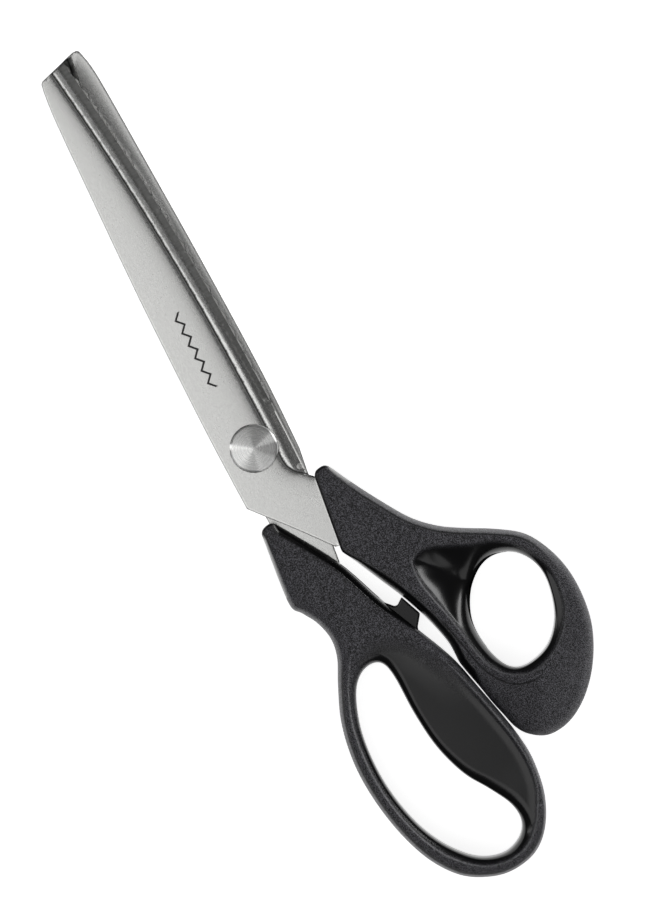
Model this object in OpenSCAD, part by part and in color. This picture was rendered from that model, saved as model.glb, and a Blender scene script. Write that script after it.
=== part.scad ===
// Pinking shears, closed, lying flat.
// +X runs from the pivot to the blade tips, +Z is up through the pivot screw.
// The origin is on the pivot axis, level with the undersides of the handles.

/* [Blades] */
// Thickness of each blade
blade_t = 3; // [2.8:0.1:3.2]
// Height of the pinking teeth, root to crest
tooth_h = 1.8; // [1.4:0.1:1.8]
// Spacing of the pinking teeth
tooth_pitch = 4; // [3:0.5:5]
// Width of the toothed band along each cutting edge
band_w = 5; // [4.5:0.1:5.2]

/* [Pivot] */
// Diameter of the pivot screw's shank
pivot_d = 6; // [5:0.5:6.5]
// Diameter of the pivot screw's head
head_d = 12.2; // [11.6:0.2:13]
// Height of the pivot screw's head
head_h = 1.9; // [1.5:0.1:2.2]
// Distance across the flats of the lock nut
nut_af = 9; // [8.5:0.5:10]
// Radial clearance between the shank and the blade that turns on it
run_clear = 0.05; // [0.03:0.01:0.1]

/* [Handles] */
// Thickness of both handles
handle_t = 12; // [11.5:0.5:14]
// Radius on the long edges of the handles
handle_round = 2; // [1:0.25:2]
// Diameter of the holes in the tangs that the handle plastic fills
lock_d = 3.5; // [2.5:0.5:4]

/* [Hidden] */
$fn = 64;

steel = [0.78, 0.77, 0.75];
turned_steel = [0.85, 0.85, 0.84];
bronze = [0.72, 0.58, 0.34];
plastic = [0.09, 0.09, 0.1];

mid_z = handle_t / 2;      // the plane where the two blades meet
face_gap = 0.05;           // each bearing face stands this far from that plane
tooth_gap = 0.1;           // each toothed face stands this far from the tooth line
washer_t = 0.5;
washer_d = 10;
washer_gap = 0.05;
plate_bottom = mid_z - face_gap - blade_t;
plate_top = mid_z + face_gap + blade_t;
spring_t = 0.6;
nut_h = plate_bottom - spring_t;
thread_d = pivot_d - 1;
past = 1;                  // how far a cutter runs past the solid

// The cutting edge is a long shallow arc. Its centre is far beyond the back of the blade.
edge_arc_r = 764;
edge_arc_x = 6;
upper_edge_y = -9.1;       // lowest point of the upper blade's edge arc
lower_edge_y = -7.3;       // the same on the lower blade, once it is turned over
bearing_r = 12.5;          // the blades are flat and full thickness inside this radius
teeth_r = 14.2;            // radius of the first tooth
relief = tooth_h / 2 + tooth_gap + 0.05;
reach = 125;               // past the tips
tip_x = 107.2;             // where the slanting tip crosses the X axis
tip_slant = 0.333;

// ---- curves ----

function spline_at(a, b, c, d, t) =
    0.5 * (2 * b + (c - a) * t + (2 * a - 5 * b + 4 * c - d) * t * t
    + (3 * b - a - 3 * c + d) * t * t * t);

// A smooth open curve through the points p, with n steps between each two
function spline(p, n = 3) =
    let (last = len(p) - 1)
    concat(
        [for (i = [0:last - 1], k = [0:n - 1])
            spline_at(p[max(i - 1, 0)], p[i], p[i + 1], p[min(i + 2, last)], k / n)],
        [p[last]]
    );

// A smooth closed curve through the points p
function spline_loop(p, n = 3) =
    let (m = len(p))
    [for (i = [0:m - 1], k = [0:n - 1])
        spline_at(p[(i + m - 1) % m], p[i], p[(i + 1) % m], p[(i + 2) % m], k / n)];

function turned_over(p) = [for (q = p) [q.x, -q.y]];
function reversed(p) = [for (i = [len(p) - 1:-1:0]) p[i]];
function unit(v) = v / norm(v);
function left_of(v) = [-v.y, v.x];

// Each point of a closed counter-clockwise loop moved inwards by d
function inset(p, d) =
    let (m = len(p))
    [for (i = [0:m - 1])
        let (
            before = unit(left_of(p[i] - p[(i + m - 1) % m])),
            after = unit(left_of(p[(i + 1) % m] - p[i])),
            way = unit(before + after)
        )
        p[i] + way * d / max(way * after, 0.6)];

// ---- triangles that close a flat outline ----

function turn(a, b, c) = (b.x - a.x) * (c.y - a.y) - (b.y - a.y) * (c.x - a.x);

function covers(a, b, c, q) =
    turn(a, b, q) >= 0 && turn(b, c, q) >= 0 && turn(c, a, q) >= 0
    && q != a && q != b && q != c;

function is_ear(pts, ids, k) =
    let (
        m = len(ids),
        a = pts[ids[(k + m - 1) % m]],
        b = pts[ids[k]],
        c = pts[ids[(k + 1) % m]]
    )
    turn(a, b, c) > 0.0001 && len([for (i = ids) if (covers(a, b, c, pts[i])) i]) == 0;

function find_ear(pts, ids, k = 0) =
    k >= len(ids) ? 0 : is_ear(pts, ids, k) ? k : find_ear(pts, ids, k + 1);

function without(ids, k) = [for (i = [0:len(ids) - 1]) if (i != k) ids[i]];

// Cuts one corner after another from the outline that ids walk round
function triangles(pts, ids, done = []) =
    let (m = len(ids))
    m < 4
    ? concat(done, [ids])
    : let (k = find_ear(pts, ids))
      triangles(
          pts, without(ids, k),
          concat(done, [[ids[(k + m - 1) % m], ids[k], ids[(k + 1) % m]]])
      );

// ---- outlines, seen from above ----

// y of the arc that lies d inside the cutting edge
function arc_y(x, edge_y, d = 0) =
    edge_y + edge_arc_r - sqrt((edge_arc_r - d) * (edge_arc_r - d)
    - (x - edge_arc_x) * (x - edge_arc_x));

function edge_strip(x_from, x_to, edge_y, d) =
    [for (k = [0:12]) let (x = x_from + (x_to - x_from) * k / 12) [x, arc_y(x, edge_y, d)]];

// The blade stock runs this far past the edge, and the grind trims it
stock = 0.8;

upper_tang = [
    [-25, -1.9], [-31.2, -6.8], [-31.5, -9.5], [-38, -15], [-43.5, -21], [-44, -24],
    [-41, -25.5], [-33, -21.7], [-24, -16], [-15.5, -12.3], [-13.4, -10.5]
];
upper_outline = concat(
    edge_strip(-9.5, tip_x + 2, upper_edge_y, -stock),
    [[tip_x - tip_slant * 3.8, 3.8], [105.7, 4.6], [105.1, 5.1]],
    spline([[103, 5.5], [95, 6.25], [75, 7.1], [45, 8.2], [10, 8.7], [-12.2, 8.5]], 3),
    [[-13.5, 8], [-17, 5], [-20, 2.2]],
    upper_tang
);

// The lower blade is drawn turned over, so that its edge is also at the bottom
lower_tang = turned_over([
    [-11, -9.3], [-31, -6.4], [-35, -5.9], [-38, -4.6], [-47, -7.3], [-54, -9],
    [-56.5, -7.5], [-57, -3.5], [-54.5, 0.4], [-44, 3.6], [-37, 6.6], [-25, 6.2],
    [-19, 5.2], [-14.5, 5.4], [-9.5, 7.1]
]);
lower_outline = concat(
    edge_strip(-9.5, tip_x + 0.5, lower_edge_y, -stock),
    [[tip_x + tip_slant * 5.4, 5.4], [109, 6.4], [108.6, 7]],
    spline([[107.2, 7.4], [100, 8.4], [75, 9.3], [45, 10.2], [15, 10.65], [-5, 10.2]], 3),
    [for (i = [0:len(lower_tang) - 2]) lower_tang[i]]
);

// The front grind runs out along this curve below the pivot
grind_end = spline([[-5, -4.6], [-8, -5.3], [-9.8, -6.5], [-11.3, -8.4], [-13.4, -10.6]], 3);
grind_region = concat(
    [[reach, 8], [-5, 8]],
    grind_end,
    [[-13.4, -25], [reach, -25]]
);

// Height of the grind above the meeting plane, against the distance inside the edge arc
grind_line = [
    [4.5, blade_t + past], [4.5, 2.9], [4.05, 2.45], [3.95, 1.45], [3, 1.42], [2.3, 1.36], [1.95, 1.27],
    [0.05, 1], [-0.65, -0.95], [-1, -2]
];

finger_outline = concat(
    [
        [-34.9, -5.6], [-18.6, 4.4], [-18.4, 5.6], [-18.8, 7.3], [-19.8, 8.2],
        [-38.2, 10.2], [-39.6, 9.9]
    ],
    spline([
        [-42, 8.4], [-46, 6.1], [-51, 4.9], [-56, 5.7], [-62, 8.6], [-70, 12], [-78, 13.8],
        [-86, 14.35], [-95, 13.5], [-104, 11.3], [-112, 7.8], [-118.5, 2.8],
        [-122.5, -3.5], [-123.6, -9.5], [-122, -16], [-117.5, -21], [-110, -24.7],
        [-101, -26.1], [-91, -25.7], [-81, -23.6], [-70, -19.6], [-60, -15.7]
    ]),
    [[-48, -10.8]]
);
finger_hole = spline_loop([
    [-61.3, -1.2], [-62.4, 2.4], [-66, 5.5], [-73, 8.2], [-80, 9.4], [-88, 9.6],
    [-96, 8.6], [-104, 6.3], [-111, 2.5], [-116.5, -2.8], [-118.5, -8.8], [-117, -13.8],
    [-113.5, -16.4], [-108.5, -16.1], [-102.5, -13], [-96, -9], [-87, -6.1],
    [-77, -5], [-67, -4.85], [-62.6, -3.8]
]);
stop_block = [[-51.5, -12], [-50.3, -15.4], [-55.8, -17.7], [-59, -15]];

thumb_outline = reversed(concat(
    [
        [-34.5, -8.5], [-33, -7.6], [-13.2, -10.2], [-12, -11], [-11.6, -13.3],
        [-12.2, -14.4]
    ],
    spline([
        [-19.4, -18.2], [-27, -22.6], [-33.5, -26.9], [-38.4, -32], [-42, -37.7],
        [-45.5, -44], [-50, -50.2], [-56, -53.8], [-63, -55.8], [-71, -56],
        [-79, -54.4], [-87, -50.3], [-93.3, -44.7], [-97, -38.5], [-97.6, -32.5],
        [-94.6, -27.8], [-88, -26], [-80, -23.9], [-72, -21.3], [-66, -20.7],
        [-60, -19.4], [-54, -17.6]
    ]),
    [[-44, -12.9]]
));
thumb_hole = spline_loop([
    [-51.3, -41], [-52.5, -36.2], [-57, -31.4], [-64, -28.5], [-72, -29], [-77.7, -31.6],
    [-79.4, -36], [-77.5, -42.5], [-72, -47.4], [-64, -49.8], [-58, -49.3],
    [-53.2, -46]
]);

upper_locks = [[-22, -12], [-38, -20]];
lower_locks = [[-33, 1], [-50, -4]];

// ---- handles ----

round_steps = 3;
// How far each ring of a rounded edge is set in, and its height above the flat face
round_rings = [for (k = [0:round_steps])
    handle_round * [1 - sin(90 * k / round_steps), 1 - cos(90 * k / round_steps)]];
handle_rings = concat(
    round_rings,
    [for (r = reversed(round_rings)) [r[0], handle_t - r[1]]]
);

function wall_faces(first, count, levels) =
    [for (j = [0:levels - 2], i = [0:count - 1])
        let (next = (i + 1) % count, low = first + j * count, high = low + count)
        [low + i, high + i, high + next, low + next]];

function flipped(faces) = [for (f = faces) reversed(f)];

// A slab of handle_t with a hole through it and a round on every long edge.
// outline and hole both run counter-clockwise. Points out_at and hole_at face each other.
module rounded_handle(outline, hole, out_at, hole_at) {
    n = len(outline);
    h = len(hole);
    levels = len(handle_rings);
    outer = [for (r = handle_rings, p = inset(outline, r[0])) [p.x, p.y, r[1]]];
    inner = [for (r = handle_rings, p = inset(hole, -r[0])) [p.x, p.y, r[1]]];
    points = concat(outer, inner);
    start = n * levels;
    // Round the outline, across to the hole, back round the hole, and across again
    ids = concat(
        [for (i = [0:n]) (out_at + i) % n],
        [for (i = [0:h]) start + (hole_at + h - i) % h]
    );
    floor_faces = triangles([for (p = points) [p.x, p.y]], ids);
    lid_faces = [for (f = floor_faces)
        [for (i = f) i < start ? i + n * (levels - 1) : i + h * (levels - 1)]];
    polyhedron(
        points = points,
        faces = concat(
            wall_faces(0, n, levels),
            flipped(wall_faces(start, h, levels)),
            floor_faces,
            flipped(lid_faces)
        ),
        convexity = 8
    );
}

module tang_slot(outline, locks, z) {
    difference() {
        translate([0, 0, z])
            linear_extrude(blade_t)
                polygon(outline);
        for (p = locks)
            translate([p.x, p.y, z - past])
                cylinder(d = lock_d, h = blade_t + 2 * past);
    }
}

module finger_handle() {
    color(plastic) {
        difference() {
            union() {
                rounded_handle(finger_outline, finger_hole, 0, 0);
                translate([0, 0, 2])
                    linear_extrude(handle_t - 4)
                        polygon(stop_block);
            }
            tang_slot(turned_over(lower_tang), lower_locks, plate_bottom);
        }
    }
}

module thumb_handle() {
    color(plastic)
        difference() {
            rounded_handle(thumb_outline, thumb_hole, 0, 0);
            tang_slot(upper_tang, upper_locks, mid_z + face_gap);
        }
}

// ---- blades, drawn with the meeting plane at z = 0 and the edge at the bottom ----

// A ring about the far centre of the edge arc, over the length of the blade
module along_edge(edge_y, x_from) {
    reach_angle = asin((reach - edge_arc_x) / edge_arc_r);
    start_angle = asin((x_from - edge_arc_x) / edge_arc_r);
    translate([edge_arc_x, edge_y + edge_arc_r, 0])
        rotate([0, 0, start_angle - 90])
            rotate_extrude(angle = reach_angle - start_angle, $fn = 256)
                children();
}

module grind_cutter(edge_y) {
    line = [for (p = grind_line) [edge_arc_r - p[0], p[1]]];
    intersection() {
        along_edge(edge_y, -20)
            polygon(concat(line, [[edge_arc_r + 20, -2], [edge_arc_r + 20, blade_t + past]]));
        translate([0, 0, -3])
            linear_extrude(blade_t + 5)
                polygon(grind_region);
    }
}

// The teeth are rings about the pivot, so they slide through each other as the blades turn
module tooth_cutter(side) {
    count = ceil((112 - teeth_r) * 2 / tooth_pitch);
    crests = [for (i = [0:count])
        [teeth_r + i * tooth_pitch / 2, side * (i % 2 == 0 ? -1 : 1) * tooth_h / 2 + tooth_gap]];
    rotate([0, 0, -80])
        rotate_extrude(angle = 160, $fn = 256)
            polygon(concat(
                [[bearing_r + 0.3, -3], [bearing_r + 0.3, 0.3], [teeth_r - 0.8, 0.3]],
                crests,
                [[crests[count][0], -3]]
            ));
}

// The inner face is hollow between the toothed band and the back of the blade
module relief_cutter(edge_y) {
    difference() {
        along_edge(edge_y, 2)
            polygon([
                [edge_arc_r - 22, -3], [edge_arc_r - band_w, -3],
                [edge_arc_r - band_w, relief], [edge_arc_r - band_w - 3, relief + 0.15],
                [edge_arc_r - 22, relief + 0.15]
            ]);
        translate([0, 0, -4])
            cylinder(r = bearing_r, h = 8);
    }
}

// Where the line that lies d inside the edge leaves the bearing face
function band_start(edge_y, d) =
    sqrt(pow(bearing_r + 0.9, 2) - pow(edge_y + d, 2));

module tooth_band(edge_y) {
    band = concat(
        edge_strip(band_start(edge_y, -stock), tip_x, edge_y, -stock),
        reversed(edge_strip(band_start(edge_y, band_w), tip_x, edge_y, band_w))
    );
    translate([0, 0, -tooth_h])
        linear_extrude(tooth_h + 1.2)
            polygon(band);
}

module tip_cutter(side) {
    slant = side * tip_slant;
    translate([0, 0, -5])
        linear_extrude(12)
            polygon([
                [tip_x - slant * 3.8, 3.8], [tip_x + slant * 15, -15],
                [reach, -15], [reach, 3.8]
            ]);
}

module blade(outline, edge_y, locks, side) {
    difference() {
        union() {
            translate([0, 0, face_gap])
                linear_extrude(blade_t)
                    polygon(outline);
            tooth_band(edge_y);
        }
        grind_cutter(edge_y);
        tooth_cutter(side);
        relief_cutter(edge_y);
        tip_cutter(side);
        for (p = locks)
            translate([p.x, p.y, -past])
                cylinder(d = lock_d, h = blade_t + 2 * past);
    }
}

module upper_blade() {
    // Where the grind runs out there is a small round notch
    notch = [-9.2, -8.1];
    color(steel)
        translate([0, 0, mid_z])
            difference() {
                blade(upper_outline, upper_edge_y, upper_locks, 1);
                translate([0, 0, -past])
                    cylinder(d = pivot_d + 2 * run_clear, h = blade_t + 2 * past);
                translate([0, 0, face_gap + blade_t - washer_t - washer_gap])
                    cylinder(d = washer_d + 4 * run_clear, h = washer_t + past);
                translate([notch.x, notch.y, -past])
                    cylinder(r = 0.8, h = blade_t + 2 * past);
            }
}

module lower_blade() {
    color(steel)
        translate([0, 0, mid_z])
            rotate([180, 0, 0])
                difference() {
                    blade(lower_outline, lower_edge_y, turned_over(lower_locks), -1);
                    translate([0, 0, -past])
                        cylinder(d = pivot_d, h = blade_t + 2 * past);
                    cylinder(d = washer_d + 2 * run_clear, h = face_gap + washer_t);
                }
}

// ---- pivot ----

module pivot_screw() {
    head_z = plate_top + washer_gap;
    edge_h = 0.7;
    dome_h = head_h - edge_h;
    dome_r = (head_d * head_d / 4 + dome_h * dome_h) / (2 * dome_h);
    dome_top = head_z + head_h;
    dome = [for (k = [0:8])
        let (x = head_d / 2 * (1 - k / 8))
        [x, dome_top - dome_r + sqrt(dome_r * dome_r - x * x)]];
    color(turned_steel)
        rotate_extrude()
            polygon(concat(
                [
                    [0, 0.3], [thread_d / 2 - 0.3, 0.3], [thread_d / 2, 0.6],
                    [thread_d / 2, plate_bottom], [pivot_d / 2, plate_bottom],
                    [pivot_d / 2, head_z], [head_d / 2, head_z]
                ],
                dome
            ));
}

module ring(outer_d, inner_d, z, h) {
    translate([0, 0, z])
        difference() {
            cylinder(d = outer_d, h = h);
            translate([0, 0, -past])
                cylinder(d = inner_d, h = h + 2 * past);
        }
}

module head_washer() {
    color(bronze)
        ring(washer_d, pivot_d + 4 * run_clear, plate_top - washer_t, washer_t);
}

module thrust_washer() {
    color(bronze)
        ring(washer_d, pivot_d + 2 * run_clear, mid_z - washer_t - face_gap, washer_t + face_gap);
}

module spring_washer() {
    color(steel)
        ring(nut_af, thread_d + 4 * run_clear, nut_h, spring_t);
}

module lock_nut() {
    color(turned_steel)
        difference() {
            cylinder(d = nut_af / cos(30), h = nut_h, $fn = 6);
            translate([0, 0, -past])
                cylinder(d = thread_d, h = nut_h + 2 * past);
        }
}

upper_blade();
lower_blade();
thumb_handle();
finger_handle();
pivot_screw();
head_washer();
thrust_washer();
spring_washer();
lock_nut();
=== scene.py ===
"""Pinking shears: the looks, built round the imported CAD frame.

Lengths in the shape lists are millimetres in the frame's own axes: +X to the tips, +Z up.
"""
import math

import bpy
import numpy as np
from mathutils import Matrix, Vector
from mathutils.geometry import delaunay_2d_cdt


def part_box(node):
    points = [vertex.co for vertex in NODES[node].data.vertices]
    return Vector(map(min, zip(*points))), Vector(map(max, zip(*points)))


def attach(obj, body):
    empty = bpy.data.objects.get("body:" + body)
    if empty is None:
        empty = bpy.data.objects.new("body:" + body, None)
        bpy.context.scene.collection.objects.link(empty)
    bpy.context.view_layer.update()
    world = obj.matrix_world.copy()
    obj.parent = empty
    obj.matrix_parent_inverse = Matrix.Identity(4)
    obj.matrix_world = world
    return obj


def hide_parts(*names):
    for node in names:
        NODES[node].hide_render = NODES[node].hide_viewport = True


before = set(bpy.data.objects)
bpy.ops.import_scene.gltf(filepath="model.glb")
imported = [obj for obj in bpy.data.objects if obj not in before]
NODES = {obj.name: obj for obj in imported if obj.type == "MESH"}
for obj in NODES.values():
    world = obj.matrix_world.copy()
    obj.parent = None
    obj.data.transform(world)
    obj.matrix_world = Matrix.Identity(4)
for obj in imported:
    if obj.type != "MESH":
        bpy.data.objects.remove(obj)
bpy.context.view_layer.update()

MM = 0.001
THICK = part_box("finger_handle")[1].z / MM      # both handles are this thick


# ---------------------------------------------------------------- curves

def spline(points, steps=6, closed=False):
    """A smooth curve through the points. Extra columns, such as an edge radius, blend with it."""
    p = np.array(points, float)
    n = len(p)
    out = []
    for i in range(n if closed else n - 1):
        if closed:
            a, b, c, d = p[i - 1], p[i], p[(i + 1) % n], p[(i + 2) % n]
        else:
            a, b, c, d = p[max(i - 1, 0)], p[i], p[i + 1], p[min(i + 2, n - 1)]
        for k in range(steps):
            t = k / steps
            out.append(
                0.5 * (2 * b + (c - a) * t + (2 * a - 5 * b + 4 * c - d) * t * t
                       + (3 * b - a - 3 * c + d) * t ** 3)
            )
    if not closed:
        out.append(p[-1])
    return np.array(out)


def resampled(line, gap, closed=True):
    """The same line with its points evenly spaced, about gap apart."""
    p = np.vstack([line, line[:1]]) if closed else np.asarray(line)
    run = np.concatenate([[0], np.cumsum(np.linalg.norm(np.diff(p[:, :2], axis=0), axis=1))])
    count = max(int(round(run[-1] / gap)), 8)
    at = np.linspace(0, run[-1], count + 1)
    if closed:
        at = at[:-1]
    return np.column_stack([np.interp(at, run, p[:, k]) for k in range(p.shape[1])])


def divided(line, gap):
    """The same line with extra points on its long stretches. Its own points stay, corners too."""
    out = []
    for a, b in zip(line[:-1], line[1:]):
        count = max(int(math.ceil(np.linalg.norm(b - a) / gap)), 1)
        out += [a + (b - a) * k / count for k in range(count)]
    return np.array(out + [line[-1]])


def softened(loop, passes):
    """Rounds the corners of a closed, evenly spaced loop."""
    p = loop.copy()
    for _ in range(passes):
        p[:, :2] = 0.5 * p[:, :2] + 0.25 * (np.roll(p, 1, 0) + np.roll(p, -1, 0))[:, :2]
    return p


def normals(loop, closed=True):
    """Left-hand normals: they point into a loop that runs counter-clockwise."""
    if closed:
        t = np.roll(loop[:, :2], -1, 0) - np.roll(loop[:, :2], 1, 0)
    else:
        t = np.gradient(loop[:, :2], axis=0)
    t /= np.linalg.norm(t, axis=1)[:, None]
    return np.column_stack([-t[:, 1], t[:, 0]])


def counter_clockwise(loop):
    x, y = loop[:, 0], loop[:, 1]
    area = np.sum(x * np.roll(y, -1) - np.roll(x, -1) * y)
    return loop if area > 0 else loop[::-1].copy()


def nearest(p, line, closed=True):
    """Distance from each point to a line, and the line's extra columns at the nearest place."""
    a = line
    b = np.roll(line, -1, 0)
    if not closed:
        a, b = line[:-1], line[1:]
    ab = b[:, :2] - a[:, :2]
    ll = np.maximum((ab ** 2).sum(1), 1e-12)
    dist = np.empty(len(p))
    extra = np.empty((len(p), line.shape[1] - 2))
    for s in range(0, len(p), 1500):
        q = p[s:s + 1500, None, :2]
        t = np.clip(((q - a[None, :, :2]) * ab[None]).sum(2) / ll, 0, 1)
        d = ((q - a[None, :, :2] - t[..., None] * ab[None]) ** 2).sum(2)
        i = d.argmin(1)
        k = np.arange(len(i))
        dist[s:s + 1500] = np.sqrt(d[k, i])
        f = t[k, i][:, None]
        extra[s:s + 1500] = a[i, 2:] * (1 - f) + b[i, 2:] * f
    return dist, extra


def inside(p, loop):
    """Which of the points lie inside a closed loop."""
    a, b = loop[:, :2], np.roll(loop[:, :2], -1, 0)
    odd = np.zeros(len(p), bool)
    for (x0, y0), (x1, y1) in zip(a, b):
        if y0 == y1:
            continue
        hit = (y0 > p[:, 1]) != (y1 > p[:, 1])
        odd ^= hit & (p[:, 0] < (x1 - x0) * (p[:, 1] - y0) / (y1 - y0) + x0)
    return odd


def smoothstep(x, low, high):
    t = np.clip((x - low) / (high - low), 0, 1)
    return t * t * (3 - 2 * t)


# ---------------------------------------------------------------- handle shapes

# How a handle's face ends at its outline: width of the curved edge, height of the wall below it,
# how far the face falls away towards the edge and over what distance, how steeply the edge starts,
# the depth of the parting line above it, and how far in from it the texture stays off.
EDGES = {
    "bolster": (0.6, THICK - 0.7, 0.0, 5.0, 0.2, 0.0, 0.1),
    "band": (1.4, 6.8, 0.0, 5.0, 1.0, 0.3, 0.0),
    "band_end": (1.8, 6.8, 0.7, 8.0, 0.7, 0.1, 0.0),
    "crown": (2.5, 6.8, 1.6, 11.0, 0.0, 0.0, 0.0),
    "deep_crown": (2.5, 6.6, 3.3, 11.0, 0.0, 0.0, 0.0),
    "contact": (1.8, 6.0, 0.0, 5.0, 0.9, 0.0, 1.8),
    "narrow": (0.9, 6.0, 0.0, 5.0, 0.9, 0.0, 0.7),
    "heel": (1.3, 7.2, 0.2, 4.0, 0.5, 0.0, 0.0),
    "ring": (1.1, 6.8, 0.7, 3.0, 1.1, 0.2, 0.0),
    "rim": (0.9, 7.4, 0.15, 2.0, 0.5, 0.0, 0.0),
}
# Each outline point is x, y and the kind of edge there. The corners come first and are joined by
# straight lines. The side is a smooth curve through its points.
THUMB_OUTLINE = [
    (-34.5, -8.5, "bolster"), (-33.0, -7.6, "bolster"), (-13.2, -10.2, "bolster"),
    (-12.0, -11.0, "bolster"), (-11.6, -13.3, "bolster"), (-12.2, -14.4, "bolster"),
]
THUMB_SIDE = [
    (-13.0, -14.9, "narrow"), (-19.4, -18.2, "band"), (-27.0, -22.6, "band"),
    (-33.5, -26.9, "band"), (-38.4, -32.0, "band"), (-42.0, -37.7, "band"),
    (-45.5, -44.0, "band"), (-50.0, -50.2, "band"), (-56.0, -53.8, "band_end"),
    (-63.0, -55.8, "crown"), (-71.0, -56.0, "crown"), (-79.0, -54.4, "crown"),
    (-87.0, -50.3, "deep_crown"), (-93.3, -44.7, "deep_crown"), (-97.0, -38.5, "deep_crown"),
    (-97.6, -32.5, "deep_crown"), (-95.2, -28.2, "deep_crown"), (-92.0, -25.9, "deep_crown"),
    (-88.0, -24.75, "deep_crown"),
    (-83.4, -23.55, "deep_crown"), (-78.8, -22.6, "crown"), (-74.6, -21.6, "contact"),
    (-71.0, -20.9, "contact"), (-68.4, -20.9, "contact"), (-65.1, -20.7, "contact"),
    (-60.0, -19.5, "contact"), (-55.6, -18.1, "contact"), (-49.9, -15.85, "contact"),
    (-44.0, -13.0, "contact"),
    (-37.0, -9.7, "narrow"),
]
# Each hole point is x, y, how wide the edge of the hole is rounded and how high its wall stands
THUMB_HOLE = [
    (-51.3, -41.0, 4.2, 5.0), (-52.5, -36.2, 5.0, 4.6), (-57.0, -31.4, 5.0, 4.6),
    (-64.0, -28.5, 3.8, 5.2), (-72.0, -29.0, 3.0, 6.2), (-77.7, -31.6, 2.2, 8.0),
    (-79.4, -36.0, 1.6, 10.2), (-77.5, -42.5, 1.6, 10.2), (-72.0, -47.4, 1.6, 10.2),
    (-64.0, -49.8, 1.6, 10.2), (-58.0, -49.3, 2.0, 9.0), (-53.2, -46.0, 3.0, 6.6),
]
# The raised line round the grip: x, y and how bright a highlight is painted on it. It starts
# at the point of the thumb scoop and runs round the hole.
THUMB_RIDGE = [
    (-43.4, -21.9, 0.5), (-48.4, -21.4, 0.9), (-53.1, -22.2, 0.9), (-57.7, -23.3, 0.8),
    (-63.3, -24.5, 0.6), (-68.8, -25.3, 0.4), (-74.2, -26.7, 0.3), (-78.2, -29.1, 0.3),
    (-80.6, -32.6, 0.2), (-81.5, -36.0, 0.2), (-80.5, -40.8, 0.2), (-78.0, -45.2, 0.2),
    (-74.4, -48.7, 0.2), (-70.3, -50.9, 0.1), (-66.3, -51.8, 0.1), (-62.0, -52.0, 0.0),
    (-57.7, -51.1, 0.0), (-53.4, -48.8, 0.0), (-50.3, -46.2, 0.0), (-47.7, -42.2, 0.0),
    (-46.1, -37.6, 0.0), (-44.0, -32.6, 0.0), (-42.3, -28.8, 0.0), (-41.6, -25.0, 0.1),
]
THUMB_GROOVE = [
    (-57.0, -20.9), (-63.0, -22.5), (-67.5, -23.6), (-73.6, -24.9), (-78.1, -26.8), (-81.7, -29.9),
    (-83.4, -34.0), (-83.5, -39.5),
]

FINGER_OUTLINE = [
    (-18.6, 4.4, "bolster"), (-18.4, 5.6, "bolster"), (-18.8, 7.3, "bolster"),
    (-19.8, 8.2, "bolster"),
]
FINGER_SIDE = [
    (-21.5, 8.45, "narrow"), (-38.2, 10.2, "heel"), (-42.0, 8.4, "heel"), (-46.0, 6.1, "heel"),
    (-51.0, 4.9, "heel"), (-56.0, 5.7, "heel"), (-62.0, 8.6, "ring"), (-70.0, 12.0, "ring"),
    (-78.0, 13.8, "ring"), (-86.0, 14.3, "ring"), (-95.0, 13.5, "ring"), (-104.0, 11.5, "ring"),
    (-112.2, 8.2, "ring"), (-118.8, 3.1, "ring"), (-122.5, -3.5, "ring"), (-123.5, -9.5, "ring"),
    (-122.0, -16.0, "ring"), (-117.5, -21.0, "rim"), (-110.0, -24.7, "rim"),
    (-101.0, -26.1, "rim"), (-94.0, -25.6, "rim"), (-88.0, -24.45, "rim"), (-78.8, -22.3, "rim"),
    (-70.9, -20.4, "rim"), (-65.5, -18.4, "rim"), (-59.0, -15.5, "rim"),
    (-48.0, -10.8, "contact"), (-34.9, -5.6, "contact"), (-20.5, 3.1, "contact"),
]
FINGER_HOLE = [
    (-61.3, -1.2, 2.4, 9.0), (-62.4, 2.4, 2.0, 9.0), (-66.0, 5.5, 1.6, 9.0),
    (-73.0, 8.2, 1.5, 9.0), (-80.0, 9.4, 1.5, 9.0), (-88.0, 9.6, 1.5, 9.0),
    (-96.0, 8.6, 1.5, 9.0), (-104.0, 6.3, 1.5, 9.0), (-111.0, 2.5, 1.5, 9.0),
    (-116.5, -2.8, 1.8, 8.6), (-118.5, -8.8, 2.0, 8.0), (-117.0, -13.8, 2.6, 7.6),
    (-113.5, -16.4, 2.8, 8.0), (-108.5, -16.1, 3.0, 9.0), (-102.5, -13.0, 2.8, 9.4),
    (-96.0, -9.0, 2.4, 9.4), (-87.0, -6.1, 2.0, 9.2), (-77.0, -5.0, 1.8, 9.2),
    (-67.0, -4.85, 2.0, 9.2), (-62.6, -3.8, 2.2, 9.2),
]
FINGER_RIDGE = [
    (-55.3, -2.0, 0.0), (-57.2, 2.4, 0.1), (-60.8, 4.8, 0.4), (-65.0, 7.2, 0.7),
    (-72.4, 9.9, 0.9), (-80.0, 11.1, 1.0), (-88.0, 11.3, 1.0), (-96.4, 10.3, 1.0),
    (-104.8, 8.0, 1.0), (-112.4, 4.1, 0.8), (-118.3, -1.8, 0.5), (-120.5, -8.2, 0.4),
    (-119.6, -14.2, 0.4), (-116.4, -18.6, 0.4), (-112.0, -21.6, 0.4), (-107.0, -23.9, 0.4),
    (-101.0, -24.8, 0.4), (-94.0, -24.3, 0.5), (-87.0, -22.9, 0.6), (-80.0, -21.2, 0.5),
    (-72.0, -18.9, 0.3), (-66.0, -16.6, 0.1), (-60.8, -13.9, 0.0), (-57.3, -10.4, 0.0),
    (-55.3, -6.1, 0.0),
]


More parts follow.
